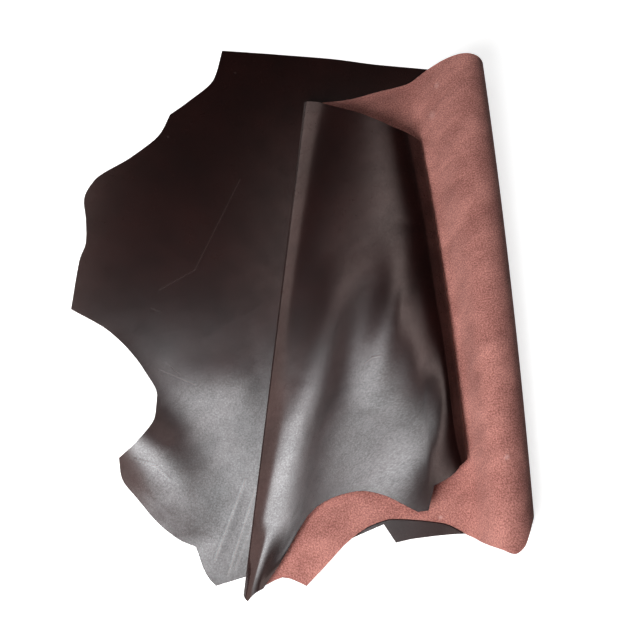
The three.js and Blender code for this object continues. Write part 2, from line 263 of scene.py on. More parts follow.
class FoldSection:
    """The cross-section of the folded side, as a surface of (station, y)."""

    search_steps = 601

    def __init__(self) -> None:
        """Puts the table into arrays of rows by planes."""
        self.places = [row[0] for row in SECTION]
        self.rows = np.array([row[1:] for row in SECTION], float)
        self.first = float(self.places.index("join"))
        self.last = float(self.places.index("tuck 3"))

    def span(self, layer: Layer) -> Pair:
        """Stations between which a layer lies."""
        start, end = layer.value
        return float(self.places.index(start)), float(self.places.index(end))

    def points(self, station: np.ndarray, y: np.ndarray) -> tuple[np.ndarray, np.ndarray]:
        """Points of the middle surface.

        Across the section it is a cubic B-spline through the rows of the table, and from the
        near plane to the far one a parabola through the three planes.

        Args:
            station: place along the section, counted in rows of the table.
            y: plane of the point, in millimetres.

        Returns:
            The points' x and z, in millimetres.
        """
        station, y = np.broadcast_arrays(np.asarray(station, float), np.asarray(y, float))
        start = np.clip(np.floor(station).astype(int), 1, len(self.rows) - 3)
        t = (station - start)[..., None]
        s = 1.0 - t
        spline = np.concatenate(
            (s**3, 3 * t**3 - 6 * t**2 + 4, 3 * s**3 - 6 * s**2 + 4, t**3), axis=-1
        ) / 6.0
        v = (y / PLANE_SPACING)[..., None]
        planes = np.concatenate((v * (v + 1) / 2, 1 - v * v, v * (v - 1) / 2), axis=-1)
        near_rows = self.rows[start[..., None] + np.arange(-1, 3)]
        point = np.einsum("...k,...p,...kpc->...c", spline, planes, near_rows)
        return point[..., 0], point[..., 1]

    def station_near(self, layer: Layer, x: float, y: float) -> float:
        """Station of the point of a layer that lies nearest to x in the plane at y."""
        stations = np.linspace(*self.span(layer), self.search_steps)
        return float(stations[np.argmin(np.abs(self.points(stations, y)[0] - x))])


class EdgeCurve:
    """A curve through knots, smooth between its corners, that never overshoots them."""

    def __init__(self, at: list[float], value: list[float], corner: list[bool]) -> None:
        """Sorts the knots.

        Args:
            at: where the knots are.
            value: what the curve is there.
            corner: whether the curve may turn sharply there.
        """
        order = np.argsort(at)
        self.at = np.array(at, float)[order]
        self.value = np.array(value, float)[order]
        self.corner = np.array(corner, bool)[order]
        self.corner[[0, -1]] = True

    def __call__(self, at: np.ndarray) -> np.ndarray:
        """The curve's values.

        Args:
            at: the places, each held between the first knot and the last.

        Returns:
            The value at each place.
        """
        at = np.clip(at, self.at[0], self.at[-1])
        out = np.zeros(at.shape)
        cuts = np.flatnonzero(self.corner)
        for start, end in zip(cuts[:-1], cuts[1:]):
            inside = (at >= self.at[start]) & (at <= self.at[end])
            out[inside] = self._run(slice(start, end + 1), at[inside])
        return out

    def _run(self, part: slice, at: np.ndarray) -> np.ndarray:
        """One run between two corners.

        It is a Hermite cubic. Its slope at a knot is a weighted harmonic mean of the slopes
        on both sides, or none where the two differ in sign.

        Args:
            part: the knots of the run.
            at: places inside the run.

        Returns:
            The curve's values there.
        """
        knots, values = self.at[part], self.value[part]
        step = np.diff(knots)
        slope = np.diff(values) / step
        lean = np.concatenate((slope[:1], np.zeros(len(knots) - 2), slope[-1:]))
        if len(knots) > 2:
            before, after = slope[:-1], slope[1:]
            same = before * after > 0
            weight_before = 2 * step[1:] + step[:-1]
            weight_after = step[1:] + 2 * step[:-1]
            safe_before, safe_after = np.where(same, before, 1.0), np.where(same, after, 1.0)
            mean = (weight_before + weight_after) / (
                weight_before / safe_before + weight_after / safe_after
            )
            lean[1:-1] = np.where(same, mean, 0.0)
        k = np.clip(np.searchsorted(knots, at, side="right") - 1, 0, len(step) - 1)
        t = (at - knots[k]) / step[k]
        return (
            (1 + 2 * t) * (1 - t) ** 2 * values[k]
            + t * t * (3 - 2 * t) * values[k + 1]
            + step[k] * (t * (1 - t) ** 2 * lean[k] - t * t * (1 - t) * lean[k + 1])
        )


class NodeTree:
    """Short ways to add and join shader nodes in one material or node group."""

    def __init__(self, tree: bpy.types.NodeTree) -> None:
        """Takes the tree that the nodes go into."""
        self.tree = tree

    def feed(self, node: bpy.types.Node, inputs: Inputs) -> None:
        """Sets or joins inputs of a node.

        Args:
            node: the node.
            inputs: a plain value or an output to join, under each input's name or number.
        """
        for key, value in inputs.items():
            if isinstance(value, bpy.types.NodeSocket):
                self.tree.links.new(value, node.inputs[key])
            else:
                node.inputs[key].default_value = value

    def add(self, kind: str, inputs: Inputs | None = None, **settings: Setting) -> bpy.types.Node:
        """Adds a node.

        Args:
            kind: Blender's name of the node.
            inputs: what its inputs are fed.
            settings: properties of the node to set.

        Returns:
            The node.
        """
        node = self.tree.nodes.new(kind)
        for name, value in settings.items():
            setattr(node, name, value)
        self.feed(node, inputs or {})
        return node

    def math(self, operation: str, a: Feed, b: Feed, clamp: bool = False) -> bpy.types.NodeSocket:
        """One sum on two values.

        Args:
            operation: Blender's name of the sum.
            a: the first value.
            b: the second value.
            clamp: whether the result is held between 0 and 1.

        Returns:
            The output that carries the result.
        """
        inputs = {0: a, 1: b}
        return self.add("ShaderNodeMath", inputs, operation=operation, use_clamp=clamp).outputs[0]

    def scaled(self, value: Feed, factor: Feed, clamp: bool = False) -> bpy.types.NodeSocket:
        """A value times a factor, held between 0 and 1 where asked."""
        return self.math("MULTIPLY", value, factor, clamp)

    def total(self, *values: Feed, clamp: bool = False) -> bpy.types.NodeSocket:
        """Adds values up in their order.

        Args:
            values: two or more values.
            clamp: whether the whole is held between 0 and 1.

        Returns:
            The output that carries the whole.
        """
        whole = values[0]
        for value in values[1:-1]:
            whole = self.math("ADD", whole, value)
        return self.math("ADD", whole, values[-1], clamp)

    def vector_math(self, operation: str, a: Feed, b: Feed) -> bpy.types.Node:
        """One sum on two vectors. The first output is a vector, and Value is a number."""
        return self.add("ShaderNodeVectorMath", {0: a, 1: b}, operation=operation)

    def noise(self, place: Feed, waves: Feed, detail: float, rough: float) -> bpy.types.NodeSocket:
        """Noise of so many waves to the metre, with finer ones by detail and roughness."""
        inputs = {"Vector": place, "Scale": waves, "Detail": detail, "Roughness": rough}
        return self.add("ShaderNodeTexNoise", inputs).outputs["Fac"]

    def cells(self, place: Feed, size: float, feature: str) -> bpy.types.NodeSocket:
        """Distance from the middle of the nearest uneven cell, in cells of a size in metres."""
        inputs = {"Vector": place, "Scale": 1.0 / size}
        return self.add("ShaderNodeTexVoronoi", inputs, feature=feature).outputs["Distance"]

    def remap(self, value: Feed, spread: Spread) -> bpy.types.NodeSocket:
        """Carries a value from one range to another smoothly, held to the ends.

        Args:
            value: the value.
            spread: start and end of the first range, then those of the second.

        Returns:
            The output that carries the new value.
        """
        names = ("Value", "From Min", "From Max", "To Min", "To Max")
        inputs = dict(zip(names, (value, *spread)))
        node = self.add("ShaderNodeMapRange", inputs, interpolation_type="SMOOTHSTEP")
        return node.outputs["Result"]

    def mix(self, share: Feed, a: Feed, b: Feed) -> bpy.types.NodeSocket:
        """Mixes two colours by the share of the second. The node has them at inputs 6 and 7."""
        return self.add("ShaderNodeMix", {0: share, 6: a, 7: b}, data_type="RGBA").outputs[2]

    def bump(self, height: Feed, strength: float = 1.0) -> bpy.types.NodeSocket:
        """Normals of a raised surface, from its height in metres and the share that is used."""
        inputs = {"Height": height, "Distance": 1.0, "Strength": strength}
        return self.add("ShaderNodeBump", inputs).outputs["Normal"]

    def group(self, group: bpy.types.NodeTree, **inputs: Feed) -> bpy.types.NodeSocket:
        """Places a node group, feeds its inputs and gives the mask that it puts out."""
        return self.add("ShaderNodeGroup", inputs, node_tree=group).outputs["Mask"]


def new_group(name: str, **inputs: Feed) -> tuple[NodeTree, bpy.types.Node, bpy.types.Node]:
    """Starts a shader node group that puts out a mask.

    Args:
        name: name of the group.
        inputs: the usual value of each input, a vector or a number.

    Returns:
        The tree, its input node and its output node.
    """
    tree = bpy.data.node_groups.new(name, "ShaderNodeTree")
    for label, usual in inputs.items():
        kind = "NodeSocketVector" if isinstance(usual, tuple) else "NodeSocketFloat"
        tree.interface.new_socket(label, in_out="INPUT", socket_type=kind).default_value = usual
    tree.interface.new_socket("Mask", in_out="OUTPUT", socket_type="NodeSocketFloat")
    nodes = NodeTree(tree)
    return nodes, nodes.add("NodeGroupInput"), nodes.add("NodeGroupOutput")


@dataclass(frozen=True)
class Patches:
    """Uneven patches: two noises of unlike scale, added and pulled apart to a mask."""

    broad_share: float = 0.7
    fine_share: float = 0.3
    fine_ratio: float = 4.3
    middle: float = 0.5
    pull: float = 4.0

    def build(self) -> bpy.types.NodeTree:
        """Makes the group, with its place, waves to the metre and contrast as inputs."""
        nodes, given, out = new_group(
            "uneven_patches", Vector=(0.0, 0.0, 0.0), Scale=6.0, Contrast=0.5
        )
        place, waves, contrast = (given.outputs[name] for name in ("Vector", "Scale", "Contrast"))
        broad = nodes.noise(place, waves, detail=3.0, rough=0.55)
        fine = nodes.noise(place, nodes.scaled(waves, self.fine_ratio), detail=4.0, rough=0.6)
        both = nodes.total(
            nodes.scaled(broad, self.broad_share), nodes.scaled(fine, self.fine_share)
        )
        spread = nodes.scaled(nodes.math("SUBTRACT", both, self.middle), contrast)
        mask = nodes.total(nodes.scaled(spread, self.pull), self.middle, clamp=True)
        nodes.feed(out, {"Mask": mask})
        return nodes.tree


def stroke_group() -> bpy.types.NodeTree:
    """A thin drawn line.

    The mask is 1 on the line from Start to End and falls evenly to 0 at its half width: 1
    less the distance from the line's nearest place, over the width.

    Returns:
        The group.
    """
    nodes, given, out = new_group(
        "thin_stroke",
        Vector=(0.0, 0.0, 0.0),
        Start=(0.0, 0.0, 0.0),
        End=(0.1, 0.0, 0.0),
        Width=0.001,
    )
    start = given.outputs["Start"]
    run = nodes.vector_math("SUBTRACT", given.outputs["End"], start).outputs[0]
    off = nodes.vector_math("SUBTRACT", given.outputs["Vector"], start).outputs[0]
    along = nodes.vector_math("DOT_PRODUCT", off, run).outputs["Value"]
    length = nodes.vector_math("DOT_PRODUCT", run, run).outputs["Value"]
    share = nodes.math("DIVIDE", along, length, clamp=True)
    nearest = nodes.add("ShaderNodeVectorMath", {0: run, "Scale": share}, operation="SCALE")
    gap = nodes.vector_math("DISTANCE", off, nearest.outputs[0]).outputs["Value"]
    widths = nodes.math("DIVIDE", gap, given.outputs["Width"])
    nodes.feed(out, {"Mask": nodes.math("SUBTRACT", 1.0, widths, clamp=True)})
    return nodes.tree


@dataclass(frozen=True)
class Mark:
    """A thin line on a face, as runs between places of the sheet map, in metres."""

    path: tuple[Pair, ...]
    width: float
    strength: float


# Marks as (path, width, strength): pale where the strength is above 0, dark where below. On the
# grain, the lines that follow creases, pale and dark side by side, are painted highlight and painted
# shade of the crease flanks; the other pale lines and dots are a scar, scratches and flecks. On the
# suede they are pale flecks.
GRAIN_MARKS_AND_PAINTED_CREASE_LIGHT = (
    Mark(((-0.1055, 0.2446), (-0.15, 0.13), (-0.185, 0.0402), (-0.2495, -0.0027)), 0.0018, 0.55),
    Mark(((-0.2671, -0.3351), (-0.232, -0.344), (-0.1999, -0.3719)), 0.0022, -0.45),
    Mark(((-0.2660, -0.3400), (-0.231, -0.350), (-0.2020, -0.3760)), 0.0022, 0.3),
    Mark(((-0.2657, -0.0406), (-0.2462, -0.049)), 0.0018, 0.4),
    Mark(((-0.2376, -0.1663), (-0.1714, -0.1958)), 0.0018, 0.45),
    Mark(((-0.2300, -0.1500), (-0.2000, -0.1750)), 0.0015, 0.3),
    Mark(((-0.1259, 0.5147), (-0.1255, 0.5140)), 0.0035, 0.9),
    Mark(((-0.2584, 0.3494), (-0.2580, 0.3485)), 0.0035, 0.9),
    Mark(((-0.0733, -0.3713), (-0.1199, -0.5079)), 0.0045, 0.45),
    Mark(((-0.0770, -0.3700), (-0.1240, -0.5060)), 0.0045, -0.3),
    Mark(((-0.0555, -0.3889), (-0.0965, -0.5325)), 0.0045, 0.45),
    Mark(((-0.0590, -0.3880), (-0.1000, -0.5310)), 0.0045, -0.3),
    Mark(((-0.0426, -0.4064), (-0.0848, -0.5243)), 0.0045, 0.4),
    Mark(((1.2619, -0.1633), (1.2700, -0.1540), (1.2811, -0.1516)), 0.0022, -0.8),
    Mark(((1.2625, -0.1655), (1.2705, -0.1562), (1.2815, -0.1538)), 0.0020, 0.5),
)

SUEDE_MARKS = (
    Mark(((0.5757, 0.4368), (0.5760, 0.4340)), 0.008, 0.45),
    Mark(((0.5987, 0.3774), (0.5970, 0.3740)), 0.011, 0.4),
    Mark(((0.7462, -0.4383), (0.7440, -0.4370)), 0.004, 0.8),
    Mark(((0.5687, -0.3524), (0.5660, -0.3500)), 0.005, 0.7),
)


@dataclass(frozen=True)
class Effects:
    """The node groups that the finishes share."""

    patches: bpy.types.NodeTree
    stroke: bpy.types.NodeTree

    @classmethod
    def build(cls) -> "Effects":
        """Builds each group once."""
        return cls(patches=Patches().build(), stroke=stroke_group())

    def clouds(self, nodes: NodeTree, place: Feed, waves: float, contrast: float) -> Feed:
        """The mask of uneven patches, at so many waves to the metre."""
        return nodes.group(self.patches, Vector=place, Scale=waves, Contrast=contrast)

    def marks(self, nodes: NodeTree, place: Feed, marks: tuple[Mark, ...]) -> Feed:
        """The sum of the marks, above 0 where they are pale and below 0 where they are dark.

        Args:
            nodes: the material's nodes.
            place: the sheet map.
            marks: the marks to draw.

        Returns:
            The output that carries the sum.
        """
        whole: Feed = 0.0
        for mark in marks:
            for start, end in zip(mark.path[:-1], mark.path[1:]):
                stroke = nodes.group(
                    self.stroke, Vector=place, Start=(*start, 0.0), End=(*end, 0.0), Width=mark.width
                )
                whole = nodes.total(whole, nodes.scaled(stroke, mark.strength))
        return whole


def new_material(name: str) -> tuple[bpy.types.Material, NodeTree, bpy.types.Node]:
    """Starts a material, and gives it with its nodes and its Principled shader."""
    material = bpy.data.materials.new(name)
    material.use_nodes = True
    return material, NodeTree(material.node_tree), material.node_tree.nodes["Principled BSDF"]


@dataclass(frozen=True)
class GrainFinish:
    """The dyed and lightly glazed grain face, in metres and waves to the metre.

    The glaze thins between the pebbles, in the speckle, in the veins and in the clouds of the dye,
    each by its own spread, and it is thicker or thinner along the marks, which beside the creases is
    painted highlight and painted shade.
    """

    effects: Effects
    deep: Colour = (0.007, 0.0017, 0.0015, 1.0)
    warm: Colour = (0.024, 0.006, 0.005, 1.0)
    pale: Colour = (0.16, 0.13, 0.125, 1.0)
    cloud_waves: float = 5.0
    cloud_contrast: float = 0.6
    vein_waves: float = 38.0
    vein_contrast: float = 0.8
    speckle_waves: float = 300.0
    hair_waves: float = 900.0
    noise_detail: float = 2.0
    noise_rough: float = 0.6
    pebble_size: float = 0.0030
    pore_size: float = 0.0016
    pore_depth: float = 0.00012
    pore_strength: float = 0.6
    roughness: float = 0.36
    cloud_roughness: float = -0.06
    speckle_roughness: float = 0.10
    pale_mark_and_highlight_share: float = 0.2
    glaze: float = 0.84
    speckle_glaze: Spread = (0.38, 0.64, -0.09, 0.06)
    vein_glaze: Spread = (0.2, 0.8, -0.05, 0.04)
    pebble_glaze: Spread = (0.15, 0.70, 0.06, -0.07)
    cloud_glaze: Spread = (0.1, 0.9, -0.10, 0.06)
    mark_glaze_and_painted_crease_light: float = 0.30
    glaze_roughness: float = 0.18
    glaze_index: float = 1.7
    base_gloss: float = 0.08

    def build(self) -> bpy.types.Material:
        """Makes the material, on the sheet's own map in metres."""
        material, nodes, shader = new_material("dyed grain")
        place = nodes.add("ShaderNodeUVMap", uv_map=SHEET_MAP).outputs["UV"]
        cloud = self.effects.clouds(nodes, place, self.cloud_waves, self.cloud_contrast)
        speckle = nodes.noise(place, self.speckle_waves, self.noise_detail, self.noise_rough)
        marks = self.effects.marks(nodes, place, GRAIN_MARKS_AND_PAINTED_CREASE_LIGHT)
        # pale along the marks: a real scar, scratches and flecks, and painted highlight on the lit
        # flank of each crease
        pale_marks_and_painted_highlight = nodes.scaled(marks, self.pale_mark_and_highlight_share, clamp=True)
        dyed = nodes.mix(cloud, self.deep, self.warm)
        rough = nodes.total(
            nodes.scaled(cloud, self.cloud_roughness),
            nodes.scaled(speckle, self.speckle_roughness),
            self.roughness,
        )
        inputs = {
            "Base Color": nodes.mix(pale_marks_and_painted_highlight, dyed, self.pale),
            "Roughness": rough,
            "Specular IOR Level": self.base_gloss,
            "Coat Weight": self._glaze(nodes, place, cloud, speckle, marks),
            "Coat Roughness": self.glaze_roughness,
            "Coat IOR": self.glaze_index,
            "Normal": self._pores(nodes, place),
        }
        nodes.feed(shader, inputs)
        return material

    def _glaze(self, nodes: NodeTree, place: Feed, cloud: Feed, speckle: Feed, marks: Feed) -> Feed:
        """How thick the glaze is.

        Args:
            nodes: the material's nodes.
            place: the sheet map.
            cloud: the mask of the clouds in the dye.
            speckle: the fine noise.
            marks: the sum of the marks, with the painted crease highlight and shade.

        Returns:
            The output that carries the glaze's share, from 0 to 1.
        """
        veins = self.effects.clouds(nodes, place, self.vein_waves, self.vein_contrast)
        pebbles = nodes.cells(place, self.pebble_size, "F1")
        return nodes.total(
            nodes.remap(speckle, self.speckle_glaze),
            nodes.remap(veins, self.vein_glaze),
            nodes.remap(pebbles, self.pebble_glaze),
            nodes.remap(cloud, self.cloud_glaze),
            # thicker or thinner along the marks; beside the creases this is painted highlight and
            # painted shade
            nodes.scaled(marks, self.mark_glaze_and_painted_crease_light),
            self.glaze,
            clamp=True,
        )

    def _pores(self, nodes: NodeTree, place: Feed) -> Feed:
        """Normals of the pores: uneven cells and a finer noise."""
        hair = nodes.noise(place, self.hair_waves, self.noise_detail, self.noise_rough)
        height = nodes.total(nodes.cells(place, self.pore_size, "SMOOTH_F1"), hair)
        return nodes.bump(nodes.scaled(height, self.pore_depth), self.pore_strength)


@dataclass(frozen=True)
class SuedeFinish:
    """The fibrous flesh face, a pink brown with cloudy patches and a short nap, and faint wrinkle
    bands that are raised in the bump and painted as shade and light in the colour.
    """

    effects: Effects
    light: Colour = (0.60, 0.29, 0.25, 1.0)
    dark: Colour = (0.25, 0.105, 0.09, 1.0)
    fleck: Colour = (0.75, 0.52, 0.48, 1.0)
    cloud_waves: float = 14.0
    cloud_contrast: float = 0.8
    cloud_share: float = 0.40
    band_lean: Pair = (0.39, 0.92)
    band_waves: Pair = (9.0, 24.0)
    band_spread: Spread = (0.3, 0.7, 0.0, 1.0)
    painted_band_shade_share: float = 0.22
    band_height: float = 0.0014
    nap_waves: float = 340.0
    nap_detail: float = 3.0
    nap_rough: float = 0.8
    nap_spread: Spread = (0.36, 0.64, -0.28, 0.54)
    nap_height: float = 0.0008
    fleck_share: float = 0.6
    roughness: float = 0.92
    gloss: float = 0.15
    sheen: float = 0.12
    sheen_roughness: float = 0.5

    def build(self) -> bpy.types.Material:
        """Makes the material, on the sheet's own map in metres."""
        material, nodes, shader = new_material("suede flesh side")
        place = nodes.add("ShaderNodeUVMap", uv_map=SHEET_MAP).outputs["UV"]
        cloud = self.effects.clouds(nodes, place, self.cloud_waves, self.cloud_contrast)
        bands = self._bands(nodes, place)
        nap = nodes.noise(place, self.nap_waves, self.nap_detail, self.nap_rough)
        share = nodes.total(
            nodes.scaled(cloud, self.cloud_share),
            # the wrinkle bands: their share here paints their shade and light into the colour,
            # beside their real bump
            nodes.scaled(bands, self.painted_band_shade_share),
            nodes.remap(nap, self.nap_spread),
            clamp=True,
        )
        fibre_and_painted_band_shade = nodes.mix(share, self.dark, self.light)
        marks = self.effects.marks(nodes, place, SUEDE_MARKS)
        flecks = nodes.scaled(marks, self.fleck_share, clamp=True)
        height = nodes.total(
            nodes.scaled(nap, self.nap_height), nodes.scaled(bands, self.band_height)
        )
        inputs = {
            "Base Color": nodes.mix(flecks, fibre_and_painted_band_shade, self.fleck),
            "Roughness": self.roughness,
            "Specular IOR Level": self.gloss,
            "Sheen Weight": self.sheen,
            "Sheen Roughness": self.sheen_roughness,
            "Normal": nodes.bump(height),
        }
        nodes.feed(shader, inputs)
        return material

    def _bands(self, nodes: NodeTree, place: Feed) -> Feed:
        """Noise drawn out along slanted bands: few waves along them and many across them.

        Args:
            nodes: the material's nodes.
            place: the sheet map.

        Returns:
            The output that carries the bands, from 0 to 1.
        """
        lean_u, lean_v = self.band_lean
        drawn = nodes.add("ShaderNodeCombineXYZ")
        directions = ((-lean_v, lean_u, 0.0), (lean_u, lean_v, 0.0))
        for axis, direction, waves in zip("XY", directions, self.band_waves):
            run = nodes.vector_math("DOT_PRODUCT", place, direction).outputs["Value"]
            nodes.feed(drawn, {axis: nodes.scaled(run, waves)})
        drawn_noise = nodes.noise(drawn.outputs[0], waves=1.0, detail=2.0, rough=0.5)
        return nodes.remap(drawn_noise, self.band_spread)


@dataclass(frozen=True)
class CutEdgeFinish:
    """The raw cut edge, a darker fibrous brown."""

    effects: Effects
    dark: Colour = (0.018, 0.008, 0.007, 1.0)
    light: Colour = (0.11, 0.055, 0.045, 1.0)
    cloud_waves: float = 60.0
    cloud_contrast: float = 1.0
    fibre_waves: float = 1400.0
    fibre_height: float = 0.0006
    roughness: float = 0.85

    def build(self) -> bpy.types.Material:
        """Makes the material, on Object coordinates."""
        material, nodes, shader = new_material("raw cut edge")
        place = nodes.add("ShaderNodeTexCoord").outputs["Object"]
        cloud = self.effects.clouds(nodes, place, self.cloud_waves, self.cloud_contrast)
        fibres = nodes.noise(place, self.fibre_waves, detail=2.0, rough=0.5)
        inputs = {
            "Base Color": nodes.mix(cloud, self.dark, self.light),
            "Roughness": self.roughness,
            "Normal": nodes.bump(nodes.scaled(fibres, self.fibre_height)),
        }
        nodes.feed(shader, inputs)
        return material


@dataclass
class LeatherSide:
    """The whole side: one sheet in four layers, with its grain, suede and cut edge.

    Lengths are in millimetres. The crease line is its plan x at y 0 and its slope. A fade of
    the top layer is where it starts, in stations from the fold, and how long it is.
    """

    effects: Effects
    flat_step: float = 9.0
    turn_step: float = math.radians(6.0)
    row_step: float = 9.0
    neck_step: float = 9.0
    walk_steps: int = 6000
    crease_line: Pair = (-18.0, 0.088)
    crease_margin: float = 6.0
    crease_fade: float = 45.0
    fold_fade: Pair = (0.6, 1.5)
    turn_fade: Pair = (1.0, 0.7)
    sharp_angle: float = math.radians(50.0)

    def __post_init__(self) -> None:
        """Works out the section and the edges as curves."""
        self.section = FoldSection()
        self.spine = self._edge(SPINE_EDGE)
        self.belly = self._edge(BELLY_EDGE)
        x, y = (list(column) for column in zip(*NECK_EDGE))
        self.neck = EdgeCurve(y, x, [place in CORNERS for place in NECK_EDGE])

    def _edge(self, edge: dict[Layer, tuple[Pair, ...]]) -> EdgeCurve:
        """The curve of y against station through the places of an edge."""
        knots = [(layer, x, y) for layer, places in edge.items() for x, y in places]
        at = [self.section.station_near(*knot) for knot in knots]
        return EdgeCurve(at, [y for _, _, y in knots], [(x, y) in CORNERS for _, x, y in knots])

    def _stations(self) -> np.ndarray:
        """Stations of the columns, closer where the sheet turns, with one at each corner.

        A stretch costs its length over the flat step and its turn over the turn step, and
        the columns share that cost evenly between two corners.

        Returns:
            The stations, in order.
        """
        fine = np.linspace(self.section.first, self.section.last, self.walk_steps + 1)
        x, z = self.section.points(fine, 0.0)
        heading = np.unwrap(np.arctan2(np.diff(z), np.diff(x)))
        turn = np.abs(np.diff(heading, prepend=heading[0]))
        step = np.hypot(np.diff(x), np.diff(z)) / self.flat_step + turn / self.turn_step
        cost = np.concatenate(([0.0], np.cumsum(step)))
        corners = self.belly.at[self.belly.corner]
        inside = (corners >= fine[0]) & (corners <= fine[-1])
        marks = np.unique(np.concatenate((fine[:1], corners[inside], fine[-1:])))
        return np.interp(even_runs(np.interp(marks, fine, cost), 1.0), cost, fine)

    def _row_heights(self) -> np.ndarray:
        """Plan y of the rows at the neck end, with one at each of its corners."""
        corners = [place[1] for place in NECK_EDGE if place in CORNERS]
        return even_runs(np.array(corners, float), self.row_step)

    def _relief(self, station: np.ndarray, x: np.ndarray, y: np.ndarray) -> np.ndarray:
        """Height of the ridges, faded out beside the crease and the folds.

        Args:
            station: place along the section.
            x: plan x of the points.
            y: plan y of the points.

        Returns:
            The height at each point.
        """
        at, slope = self.crease_line
        to_crease = at + slope * y - self.crease_margin - x
        start, end = self.section.span(Layer.TOP)
        bottom_end = self.section.span(Layer.BOTTOM)[1]
        rise = ease((station - start - self.fold_fade[0]) / self.fold_fade[1])
        fall = ease((end - self.turn_fade[0] - station) / self.turn_fade[1])
        fades = {
            Layer.BOTTOM: np.where(station < bottom_end, ease(to_crease / self.crease_fade), 0),
            Layer.MIDDLE: ((station >= bottom_end) & (station < start)).astype(float),
            Layer.TOP: np.where(station >= start, rise * fall, 0),
        }
        ridges = (*RIDGES, *FINE_FOLDS)
        return sum(fades[ridge.layer] * ridge.height_at(x, y) for ridge in ridges)

    def middle_surface(self) -> np.ndarray:
        """The sheet's middle surface, as columns of points from the neck to the tail.

        A column of the folded part lies at one station, and its y runs evenly from the spine
        edge to the belly edge. A column of the neck end is a straight blend from the neck's
        outline to the first folded column.

        Returns:
            The points, in millimetres.
        """
        heights = self._row_heights()
        share = (heights[0] - heights) / (heights[0] - heights[-1])
        stations = self._stations()
        spine, belly = self.spine(stations), self.belly(stations)
        y = spine[:, None] + (belly - spine)[:, None] * share
        x, z = self.section.points(stations[:, None], y)
        folded = np.stack((x, y, z), axis=-1)

        on_floor = np.full(len(heights), THICKNESS / 2)
        outline = np.stack((self.neck(heights), heights, on_floor), axis=-1)
        widest = np.abs(folded[0, :, 0] - outline[:, 0]).max()
        columns = round(widest / self.neck_step)
        blend = (np.arange(columns) / columns)[:, None, None]
        neck = outline + (folded[0] - outline) * blend
        points = np.concatenate((neck, folded))
        place = np.concatenate((np.full(columns, stations[0]), stations))
        points[..., 2] += self._relief(place[:, None], points[..., 0], points[..., 1])
        return points

    @staticmethod
    def normals(points: np.ndarray) -> np.ndarray:
        """Unit normals of a grid: the cross product of its differences both ways.

        Args:
            points: the grid.

        Returns:
            The normal at each point.
        """
        along = np.gradient(points, axis=0)
        across = np.gradient(points, axis=1)
        normal = np.cross(across, along)
        return normal / np.linalg.norm(normal, axis=-1, keepdims=True)

    @staticmethod
    def row_lengths(points: np.ndarray) -> np.ndarray:
        """Place of each point along its row: the row's first x and its length up to there.

        Args:
            points: the grid, as columns of points, with the coordinates that are to count.

        Returns:
            The place of each point, in millimetres.
        """
        step = np.linalg.norm(np.diff(points, axis=0), axis=-1)
        length = np.concatenate((np.zeros((1, points.shape[1])), np.cumsum(step, axis=0)))
        return points[0, :, 0] + length

    def vertices(self, points: np.ndarray) -> np.ndarray:
        """Points of the grain face, then those of the flesh face.

        Each lies half the thickness along the normal, and the whole stands in the middle of
        its own box, on the floor.

        Args:
            points: the middle surface.

        Returns:
            The points, in millimetres.
        """
        half = self.normals(points) * THICKNESS / 2
        both = np.concatenate(((points + half).reshape(-1, 3), (points - half).reshape(-1, 3)))
        low, high = both.min(0), both.max(0)
        return both - ((low[0] + high[0]) / 2, (low[1] + high[1]) / 2, low[2])

    @staticmethod
    def quads(columns: int, rows: int) -> tuple[np.ndarray, np.ndarray]:
        """Faces of the closed sheet, as a grid above, its mirror below and the rim.

        Args:
            columns: columns of the grid.
            rows: points in each column.

        Returns:
            The four corners of each face, and each face's material slot.
        """
        index = np.arange(columns * rows).reshape(columns, rows)
        corners = (index[:-1, :-1], index[:-1, 1:], index[1:, 1:], index[1:, :-1])
        upper = np.stack(corners, axis=-1).reshape(-1, 4)
        lower = upper[:, ::-1] + index.size
        rim = np.concatenate((index[:-1, 0], index[-1, :-1], index[:0:-1, -1], index[0, :0:-1]))
        after = np.roll(rim, -1)
        edge = np.stack((rim, after, after + index.size, rim + index.size), axis=-1)
        slots = np.repeat((0, 1, 2), (len(upper), len(lower), len(edge)))
        return np.concatenate((upper, lower, edge)), slots

    def build(self) -> bpy.types.Object:
        """Makes the closed sheet: the grain face, the suede face and the rim between them."""
        points = self.middle_surface()
        quads, slots = self.quads(*points.shape[:2])
        mesh = bpy.data.meshes.new(SHEET_NAME)
        mesh.from_pydata(self.vertices(points) * MM, [], quads)
        mesh.polygons.foreach_set("material_index", slots)
        mesh.polygons.foreach_set("use_smooth", np.ones(len(quads), bool))
        flat = np.stack((self.row_lengths(points), points[..., 1]), axis=-1)
        flat = np.tile(flat.reshape(-1, 2), (2, 1)) * MM
        sheet_map = mesh.uv_layers.new(name=SHEET_MAP)
        sheet_map.data.foreach_set("uv", flat[quads.ravel()].ravel())
        mesh.update()
        mesh.set_sharp_from_angle(angle=self.sharp_angle)
        for finish in (GrainFinish, SuedeFinish, CutEdgeFinish):
            mesh.materials.append(finish(self.effects).build())
        side = bpy.data.objects.new(SHEET_NAME, mesh)
        bpy.context.scene.collection.objects.link(side)
        self.declare(side)
        return side

    def declare(self, side: bpy.types.Object) -> None:
        """Attaches the sheet to the root body and hides the node that it replaces.

        Args:
            side: the finished sheet.
        """
        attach(side, "root")
        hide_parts(NODE)


class Reach(Enum):
    """What a light falls on, as (matt surfaces, glossy surfaces)."""

    MATT = (True, False)
    GLAZE = (False, True)


